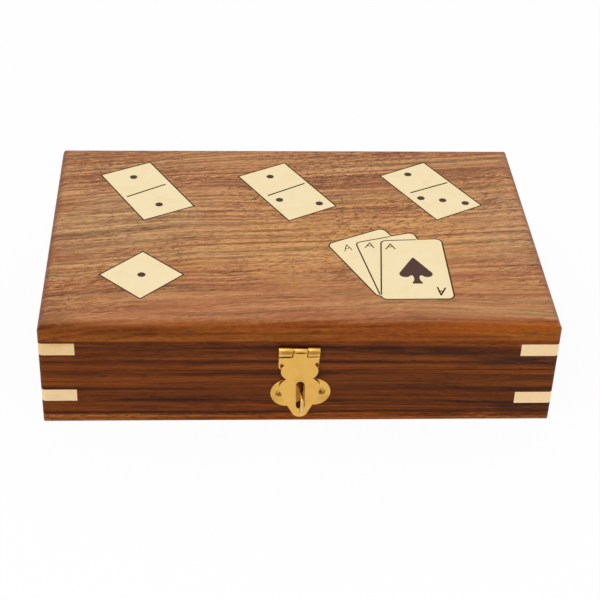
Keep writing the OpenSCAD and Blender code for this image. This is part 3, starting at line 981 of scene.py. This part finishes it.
RAIL_WOOD = WoodFinish(
    name="front_rail_rosewood",
    grain=Grain.ALONG_X,
    tones=((94, 42, 6), (110, 50, 8), (126, 61, 12), (106, 52, 12)),
    line=(42, 18, 8),
    glow=(156, 84, 36),
    pore=(42, 20, 8),
    pith=(0.0, -220.0),
    line_gap=6.0,
    line_share=0.95,
    streak=0.4,
    streak_share=0.2,
    jitter=0.5,
    sway=9.0,
    curl=2.4,
    fibre_share=0.3,
    pore_share=0.3,
    pore_level=0.58,
    rough=0.45,
    seed=2.0,
    line_shift=220.3,
    line_sharp=3.2,
    slope=-0.03,
    stretch=0.55,
    fibre=1.0,
    clouds=(
        Cloud(at=(0.0, -64.0, 4.5), reach=(240.0, 12.0, 1.5), share=0.6, colour=SHADOW, fray=0.8),
    ),
    figure=(
        Cloud(at=(86.0, -64.0, 27.8), reach=(34.0, 30.0, 3.6), share=0.85, colour=HEART, core=0.35),
        Cloud(at=(52.0, -64.0, 31.4), reach=(34.0, 30.0, 1.9), share=0.6, colour=HEART, fray=0.9),
        Cloud(at=(86.0, -64.0, 6.2), reach=(20.0, 30.0, 3.4), share=0.6, colour=HEART),
    ),
)
BACK_RAIL_WOOD = replace(
    RAIL_WOOD, name="back_rail_rosewood", seed=7.0, line_shift=218.0, slope=0.02,
    clouds=(), figure=(),
)
SIDE_RAIL_WOOD = replace(
    RAIL_WOOD, name="side_rail_rosewood", grain=Grain.ALONG_Y, slope=0.01, seed=3.0
)
LONG_DIVIDER_WOOD = replace(
    BOTTOM_WOOD, name="long_divider_rosewood", grain=Grain.ALONG_Y, seed=9.0, clouds=()
)
SHORT_DIVIDER_WOOD = replace(
    BOTTOM_WOOD, name="short_divider_rosewood", seed=12.0, clouds=()
)

# Tones of the brass, from dark to light; most of them are painted light on the hasp.
# Painted shade in the hasp's creases and recesses, and the painted dark reflection along the staple
# wire.
PAINTED_DARK_BRASS = (92, 42, 12)
# Painted shade on the lower sides of the knuckles.
PAINTED_SHADE_BRASS = (168, 116, 48)
# Painted shade on the lower parts of the staple plate's lobes; the aged tone is also real tarnish
# on a corner strip.
PAINTED_LOBE_SHADE = (192, 148, 66)
AGED_AND_SHADED_BRASS = (196, 150, 66)
# Real tarnish on a corner strip, and the clean metal.
MELLOW_BRASS = (220, 178, 92)
CLEAN_BRASS = (230, 180, 92)
# Painted highlights on the middle knuckle and on the staple plate.
SOFT_GLINT = (236, 186, 108)
GLINT = (246, 204, 144)


def painted_dark_patch(
    at: Point3, reach: Point3, share: float = 0.9, colour: Colour = PAINTED_DARK_BRASS
) -> Cloud:
    """A patch with a clear border, for painted shade in the hasp's creases and recesses and for the
    painted dark reflection along the staple wire.
    """
    return Cloud(at=at, reach=reach, share=share, colour=colour, fray=0.3, core=0.5)


# Painted shade under the knuckles, between them and on their lower sides, and a painted highlight
# on the top of the middle knuckle.
KNUCKLE_SHADE_AND_HIGHLIGHT = (
    *(painted_dark_patch((x, -66.2, 32.0), (3.2, 2.0, 0.42)) for x in (-5.0, 5.0)),
    *(painted_dark_patch((x, -66.6, 34.0), (0.36, 2.0, 2.0)) for x in (-2.55, 2.55)),
    painted_dark_patch((0.0, -66.1, 33.5), (2.9, 1.5, 0.62), 0.95),
    *(painted_dark_patch((x, -66.7, 33.9), (3.6, 1.6, 1.2), 0.85, PAINTED_SHADE_BRASS) for x in (-5.0, 5.0)),
    Cloud(at=(0.0, -66.4, 35.0), reach=(2.6, 1.4, 0.5), share=0.7, colour=SOFT_GLINT, fray=0.3),
)
# Painted shade round the nails of the leaf and of the staple plate.
NAIL_SHADE = (
    *(painted_dark_patch((x, -64.8, 26.9), (1.9, 1.2, 1.6), 0.85) for x in (-5.8, 5.8)),
    painted_dark_patch((-7.0, -64.8, 13.6), (1.2, 1.2, 1.4), 0.85),
    painted_dark_patch((8.0, -64.8, 14.4), (1.2, 1.2, 1.4), 0.85),
)
# Painted shade on the lower parts of the plate's lobes, in its slot round the staple and round its
# nails, and a painted highlight on its upper right.
PLATE_SHADE_AND_HIGHLIGHT = (
    Cloud(at=(9.6, -64.8, 11.4), reach=(4.4, 2.0, 2.6), share=0.5, colour=PAINTED_LOBE_SHADE),
    Cloud(at=(-8.6, -64.8, 10.8), reach=(4.4, 2.0, 2.4), share=0.45, colour=AGED_AND_SHADED_BRASS),
    Cloud(at=(6.0, -64.8, 18.0), reach=(3.0, 2.0, 1.8), share=0.55, colour=GLINT),
    painted_dark_patch((0.6, -64.4, 13.0), (3.0, 3.0, 7.0), 0.6),
    painted_dark_patch((0.6, -64.4, 19.0), (3.0, 3.0, 3.4), 0.95),
    painted_dark_patch((0.6, -64.4, 8.6), (3.0, 3.0, 2.0)),
    painted_dark_patch((-7.3, -64.8, 13.8), (1.9, 1.2, 1.9), 0.85),
    painted_dark_patch((8.3, -64.8, 14.6), (1.9, 1.2, 1.9), 0.85),
)
# Painted dark reflection along the staple wire.
WIRE_DARK_REFLECTION = (painted_dark_patch((0.95, -67.6, 16.4), (0.42, 6.0, 1.9), 0.98),)
STRIP_TARNISH = (
    Cloud((-91.0, -64.0, 34.5), (13.0, 8.0, 6.0), 0.4, MELLOW_BRASS, fray=1.6),
    Cloud((-86.0, -64.0, 36.4), (9.0, 8.0, 1.6), 0.4, AGED_AND_SHADED_BRASS, fray=2.2),
)

BRASS = BrassFinish(
    name="yellow_brass", bright=CLEAN_BRASS, tarnish=(208, 156, 76), tarnish_share=0.35
)
FLAP_BRASS = BrassFinish(
    name="flap_brass",
    bright=CLEAN_BRASS,
    tarnish=(216, 164, 82),
    tarnish_share=0.35,
    painted_light_and_tarnish=KNUCKLE_SHADE_AND_HIGHLIGHT,
)
LEAF_BRASS = replace(FLAP_BRASS, name="leaf_brass", painted_light_and_tarnish=KNUCKLE_SHADE_AND_HIGHLIGHT + NAIL_SHADE)
PLATE_BRASS = BrassFinish(
    name="staple_plate_brass",
    bright=(228, 179, 92),
    tarnish=(206, 152, 74),
    tarnish_share=0.5,
    painted_light_and_tarnish=PLATE_SHADE_AND_HIGHLIGHT,
)
WIRE_BRASS = BrassFinish(
    name="staple_wire_brass",
    bright=(226, 184, 108),
    tarnish=(204, 152, 78),
    tarnish_share=0.4,
    blotch=1.6,
    rough=0.2,
    rub=0.08,
    painted_light_and_tarnish=WIRE_DARK_REFLECTION,
)
PALE_BRASS = BrassFinish(
    name="pale_brass_sheet",
    bright=(244, 225, 181),
    tarnish=(236, 212, 162),
    tarnish_share=0.25,
    blotch=9.0,
    rough=0.36,
)
STRIP_BRASS = BrassFinish(
    name="corner_strip_brass",
    bright=(244, 212, 165),
    tarnish=(234, 196, 138),
    tarnish_share=0.25,
    blotch=5.0,
    rough=0.34,
    painted_light_and_tarnish=STRIP_TARNISH,
)
LAC = LacFinish(name="dark_lac", body=(76, 50, 42), worn=(96, 70, 60))
EDGE_LAC = LacFinish(name="edge_lac", body=(58, 34, 2), worn=(84, 54, 10), rough=0.75)


@dataclass
class LidBoard:
    """The lid's thick board."""

    finish: WoodFinish = LID_WOOD

    def dress(self, shop: Workshop) -> None:
        """Gives the board its wood."""
        shop.dress(self.finish, "lid_top_board")


@dataclass(frozen=True)
class IndexLetter:
    """The index letter at a card's corner, by the ends of its strokes, in millimetres.

    Attributes:
        left: the foot of its left leg.
        apex: its top.
        right: the foot of its right leg.
        bar_left: the left end of its crossbar.
        bar_right: the right end.
        width: how wide its strokes are.
        round_points: how many corners the round end of a stroke has.
    """

    left: Point2
    apex: Point2
    right: Point2
    bar_left: Point2
    bar_right: Point2
    width: float
    round_points: int = 7

    def strokes(self) -> list[list[Point2]]:
        """Draws the letter.

        Returns:
            The outline of each stroke.
        """
        legs = ((self.left, self.apex), (self.apex, self.right))
        outlines = []
        for start, end in (*legs, (self.bar_left, self.bar_right)):
            along = (Vector(end) - Vector(start)).normalized()
            side = Vector((-along.y, along.x))
            outline = []
            for centre, turn in ((Vector(end), 0.0), (Vector(start), math.pi)):
                for k in range(self.round_points):
                    angle = turn - math.pi / 2 + math.pi * k / (self.round_points - 1)
                    out = (along * math.cos(angle) + side * math.sin(angle)) * (self.width / 2)
                    outline.append(tuple(centre + out))
            outlines.append(outline)
        return outlines


@dataclass
class Inlays:
    """The brass sheets let into the lid, the lac in them and the lac line round each.

    Attributes:
        top: the height of the lid's upper face.
        film: how far the lac stands proud of it.
        lac_line: the width of the lac line round a sheet.
        overlap: how far that line lies over the sheet.
        mitre: the cosine at which that line's sharp corners are held back.
        sheets: the sheets.
        fillings: the pips and the spade.
        lines: the lines across the dominoes and between the cards.
        letters: the cards' index letters.
    """

    top: float = 45.0
    film: float = 0.012
    lac_line: float = 0.52
    overlap: float = 0.04
    mitre: float = 0.5
    sheets: tuple[str, ...] = (
        "domino_inlay_left",
        "domino_inlay_middle",
        "domino_inlay_right",
        "die_inlay",
        "card_fan_inlay",
    )
    fillings: tuple[str, ...] = ("inlay_pips", "spade_inlay")
    lines: tuple[str, ...] = ("domino_lines", "card_lines")
    letters: tuple[IndexLetter, ...] = (
        IndexLetter(
            (19.13, -16.23), (20.06, -11.72), (21.96, -15.43),
            (19.63, -14.55), (21.27, -13.88), 0.34,
        ),
        IndexLetter(
            (27.20, -13.88), (29.18, -10.36), (30.54, -13.87),
            (27.95, -12.53), (30.11, -12.53), 0.42,
        ),
        IndexLetter(
            (35.17, -14.75), (37.19, -11.17), (38.73, -14.74),
            (35.99, -13.20), (38.03, -13.20), 0.46,
        ),
        IndexLetter(
            (51.96, -40.81), (52.69, -45.78), (54.80, -41.25),
            (52.29, -43.30), (53.90, -43.30), 0.62,
        ),
    )

    def dress(self, shop: Workshop) -> None:
        """Gives the sheets their brass and the fillings their lac.

        Args:
            shop: the workshop.
        """
        shop.dress(PALE_BRASS, *self.sheets)
        shop.dress(LAC, *self.fillings)
        shop.dress(EDGE_LAC, *self.lines)

    def outline(self, node: bpy.types.Object) -> list[Point2]:
        """The border of a sheet's upper face.

        Args:
            node: the sheet.

        Returns:
            The border's corners in millimetres, anticlockwise.
        """
        work = bmesh.new()
        work.from_mesh(node.data)
        bmesh.ops.remove_doubles(work, verts=work.verts, dist=SAME_PLACE)
        level = self.top * MM
        upper = {f for f in work.faces if all(abs(v.co.z - level) < SAME_LEVEL for v in f.verts)}
        places = {v.index: v.co.copy() for v in work.verts}
        nexts: dict[int, int] = {}
        for face in (f for f in work.faces if f in upper):
            for loop in face.loops:
                if not any(f in upper for f in loop.edge.link_faces if f is not face):
                    nexts[loop.vert.index] = loop.link_loop_next.vert.index
        borders: list[list[Point2]] = []
        while nexts:
            start, at = nexts.popitem()
            ring = [start]
            while at != start and at in nexts:
                ring.append(at)
                at = nexts.pop(at)
            borders.append([(places[i].x / MM, places[i].y / MM) for i in ring])
        work.free()
        return max(borders, key=lambda ring: max(p[0] for p in ring) - min(p[0] for p in ring))

    def border(self, ring: list[Point2], out: float) -> list[Point2]:
        """The border moved outward.

        Args:
            ring: the border's corners, anticlockwise.
            out: how far it moves.

        Returns:
            The moved corners.
        """
        moved = []
        for i, (x, y) in enumerate(ring):
            here = Vector((x, y))
            one = (here - Vector(ring[i - 1])).normalized()
            two = (Vector(ring[(i + 1) % len(ring)]) - here).normalized()
            normal = Vector((one.y + two.y, -one.x - two.x)).normalized()
            reach = out / max(self.mitre, normal.dot(Vector((one.y, -one.x))))
            moved.append((x + normal.x * reach, y + normal.y * reach))
        return moved

    def lac_lines(self, shop: Workshop) -> None:
        """Lays the lac line that shows round each sheet.

        Args:
            shop: the workshop.
        """
        level = self.top + self.film
        for name in self.sheets:
            ring = self.outline(shop.nodes[name])
            count = len(ring)
            both = self.border(ring, -self.overlap) + self.border(ring, self.lac_line)
            corners = [(x, y, level) for x, y in both]
            faces = [(i, i + count, (i + 1) % count + count, (i + 1) % count) for i in range(count)]
            shop.piece(f"{name}.lac_line", corners, faces, EDGE_LAC, "lid", "filler")

    def index_letters(self, shop: Workshop) -> None:
        """Draws the card index at the corner of each card.

        Args:
            shop: the workshop.
        """
        level = self.top + self.film
        corners: list[Point3] = []
        faces: list[range] = []
        for letter in self.letters:
            for stroke in letter.strokes():
                faces.append(range(len(corners), len(corners) + len(stroke)))
                corners.extend((x, y, level) for x, y in stroke)
        shop.piece("card_index_letters", corners, faces, EDGE_LAC, "lid", "filler")


@dataclass
class Frames:
    """The mitred rails of the lid and the base, the boards in the base and the corner strips.

    Attributes:
        woods: the wood of each rail, board and divider.
        strips: the corner strips.
    """

    woods: tuple[tuple[WoodFinish, tuple[str, ...]], ...] = (
        (RAIL_WOOD, ("base_front_rail", "lid_front_rail")),
        (BACK_RAIL_WOOD, ("base_back_rail", "lid_back_rail")),
        (SIDE_RAIL_WOOD, ("base_left_rail", "base_right_rail", "lid_left_rail", "lid_right_rail")),
        (BOTTOM_WOOD, ("bottom_board",)),
        (LONG_DIVIDER_WOOD, ("card_divider", "domino_divider")),
        (SHORT_DIVIDER_WOOD, ("dice_divider",)),
    )
    strips: tuple[str, ...] = ("base_corner_strips", "lid_corner_strips")

    def dress(self, shop: Workshop) -> None:
        """Gives the rails, the board and the dividers their wood and the strips their brass.

        Args:
            shop: the workshop.
        """
        for wood, names in self.woods:
            shop.dress(wood, *names)
        shop.dress(STRIP_BRASS, *self.strips)


@dataclass
class Hasp:
    """The hasp: leaf, pin, flap, staple and its plate, with their nails.

    Attributes:
        edge: how wide its broken edges are, in millimetres.
    """

    edge: float = 0.12

    def dress(self, shop: Workshop) -> None:
        """Gives the hasp its brass and breaks its edges.

        Args:
            shop: the workshop.
        """
        shop.dress(FLAP_BRASS, "hasp_flap")
        shop.dress(LEAF_BRASS, "hasp_leaf", "hasp_leaf_nails", "hasp_pin", "staple_nails")
        shop.dress(PLATE_BRASS, "staple_plate")
        shop.dress(WIRE_BRASS, "staple")
        shop.soften(self.edge, "hasp_leaf", "hasp_flap", "staple_plate")


@dataclass
class BackHinges:
    """The two butt hinges at the back, with their pins and screws.

    Attributes:
        leaves: the leaves.
        fixings: the pins and the screws.
    """

    leaves: tuple[str, ...] = (
        "left_hinge_base_leaf",
        "right_hinge_base_leaf",
        "left_hinge_lid_leaf",
        "right_hinge_lid_leaf",
    )
    fixings: tuple[str, ...] = ("hinge_pins", "hinge_base_screws", "hinge_lid_screws")

    def dress(self, shop: Workshop) -> None:
        """Gives the hinges their brass."""
        shop.dress(BRASS, *self.leaves, *self.fixings)


@dataclass
class Studio:
    """The plain pale floor, the soft light and the camera. All lengths are in metres.

    Attributes:
        eye: the camera's place.
        right: the picture's right, as a direction.
        up: the picture's up.
        ahead: the direction in which the camera looks.
        focal: the focal length, in widths of a picture element.
        picture: the picture's width, in picture elements.
        sensor: the width of the camera's sensor, in millimetres.
        shift: how far the picture is shifted sideways, in widths of the picture.
        near: the nearest distance that the camera sees.
        far: the farthest.
        floor_level: the floor's height.
        floor_half: half the floor's side.
        floor_tone: the floor's own colour.
        floor_white: how white the floor looks to the camera.
        sky: how strongly the surroundings light the part.
        lamp_watts: the lamp's power.
        lamp_side: the lamp's side.
        lamp_place: the lamp's place.
    """

    eye: Point3 = (-0.03424, -0.50430, 0.36669)
    right: Point3 = (0.99895, -0.03821, 0.02521)
    up: Point3 = (0.00145, 0.57684, 0.81685)
    ahead: Point3 = (0.04575, 0.81596, -0.57629)
    focal: float = 1521.0
    picture: float = 600.0
    sensor: float = 36.0
    shift: float = 0.04
    near: float = 0.01
    far: float = 20.0
    floor_level: float = -0.0001
    floor_half: float = 6.0
    floor_tone: float = 0.98
    floor_white: float = 0.94
    sky: float = 0.70
    lamp_watts: float = 6.5
    lamp_side: float = 1.1
    lamp_place: Point3 = (-0.45, -0.75, 1.25)

    def camera(self) -> None:
        """Sets up the camera at the photograph's place."""
        data = bpy.data.cameras.new("camera")
        data.sensor_width = self.sensor
        data.lens = self.focal / self.picture * self.sensor
        data.shift_x = self.shift
        data.clip_start = self.near
        data.clip_end = self.far
        made = bpy.data.objects.new("camera", data)
        turn = Matrix((self.right, self.up, [-c for c in self.ahead])).transposed()
        made.matrix_world = Matrix.Translation(self.eye) @ turn.to_4x4()
        bpy.context.scene.collection.objects.link(made)
        bpy.context.scene.camera = made

    def seen(self, sh: Shader) -> Term:
        """Sorts the rays.

        Args:
            sh: the node tree that asks.

        Returns:
            1 for rays from the eye, from gloss or through glass, and 0 for the rest.
        """
        eye = sh.add("ShaderNodeLightPath", output="Is Camera Ray")
        gloss, glass = (sh.beside(eye, f"Is {kind} Ray") for kind in ("Glossy", "Transmission"))
        return eye.highest(gloss).highest(glass)

    def floor(self) -> None:
        """Lays the pale floor."""
        mesh = bpy.data.meshes.new("floor")
        half = self.floor_half
        corners = [(-half, -half, 0), (half, -half, 0), (half, half, 0), (-half, half, 0)]
        mesh.from_pydata(corners, [], [(0, 1, 2, 3)])
        floor = bpy.data.objects.new("floor", mesh)
        floor.location.z = self.floor_level
        bpy.context.scene.collection.objects.link(floor)
        sh = Shader.material("pale_floor")
        tone = (self.floor_tone, self.floor_tone, self.floor_tone, 1.0)
        cloth = sh.add("ShaderNodeBsdfDiffuse", inputs={"Color": tone})
        white = sh.add("ShaderNodeEmission", inputs={"Color": WHITE, "Strength": 1.0})
        share = self.seen(sh) * self.floor_white
        sh.end(sh.add("ShaderNodeMixShader", inputs={0: share, 1: cloth, 2: white}))
        mesh.materials.append(sh.owner)

    def light(self) -> None:
        """Lights the part softly from all round and a little more from the front left."""
        world = bpy.data.worlds.new("studio")
        bpy.context.scene.world = world
        sh = Shader(world)
        level = self.seen(sh) * (1.0 - self.sky) + self.sky
        sky = sh.add("ShaderNodeBackground", inputs={"Color": WHITE, "Strength": level})
        sh.end(sky, "ShaderNodeOutputWorld")
        lamp = bpy.data.lights.new("soft_box", "AREA")
        lamp.shape = "SQUARE"
        lamp.size = self.lamp_side
        lamp.energy = self.lamp_watts
        made = bpy.data.objects.new("soft_box", lamp)
        made.location = self.lamp_place
        made.rotation_euler = (-Vector(self.lamp_place)).to_track_quat("-Z", "Y").to_euler()
        bpy.context.scene.collection.objects.link(made)

    def build(self) -> None:
        """Sets the whole studio up."""
        bpy.context.scene.view_settings.view_transform = "Standard"
        self.camera()
        self.floor()
        self.light()
        log.info("studio: camera, floor and light")


def main() -> None:
    """Loads the frame and dresses the part, piece by piece."""
    logging.basicConfig(level=logging.INFO, format="%(message)s")
    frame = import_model()
    Studio().build()
    shop = Workshop(frame["nodes"])
    LidBoard().dress(shop)
    inlays = Inlays()
    inlays.dress(shop)
    inlays.lac_lines(shop)
    inlays.index_letters(shop)
    Frames().dress(shop)
    Hasp().dress(shop)
    BackHinges().dress(shop)


if __name__ == "__main__":
    main()
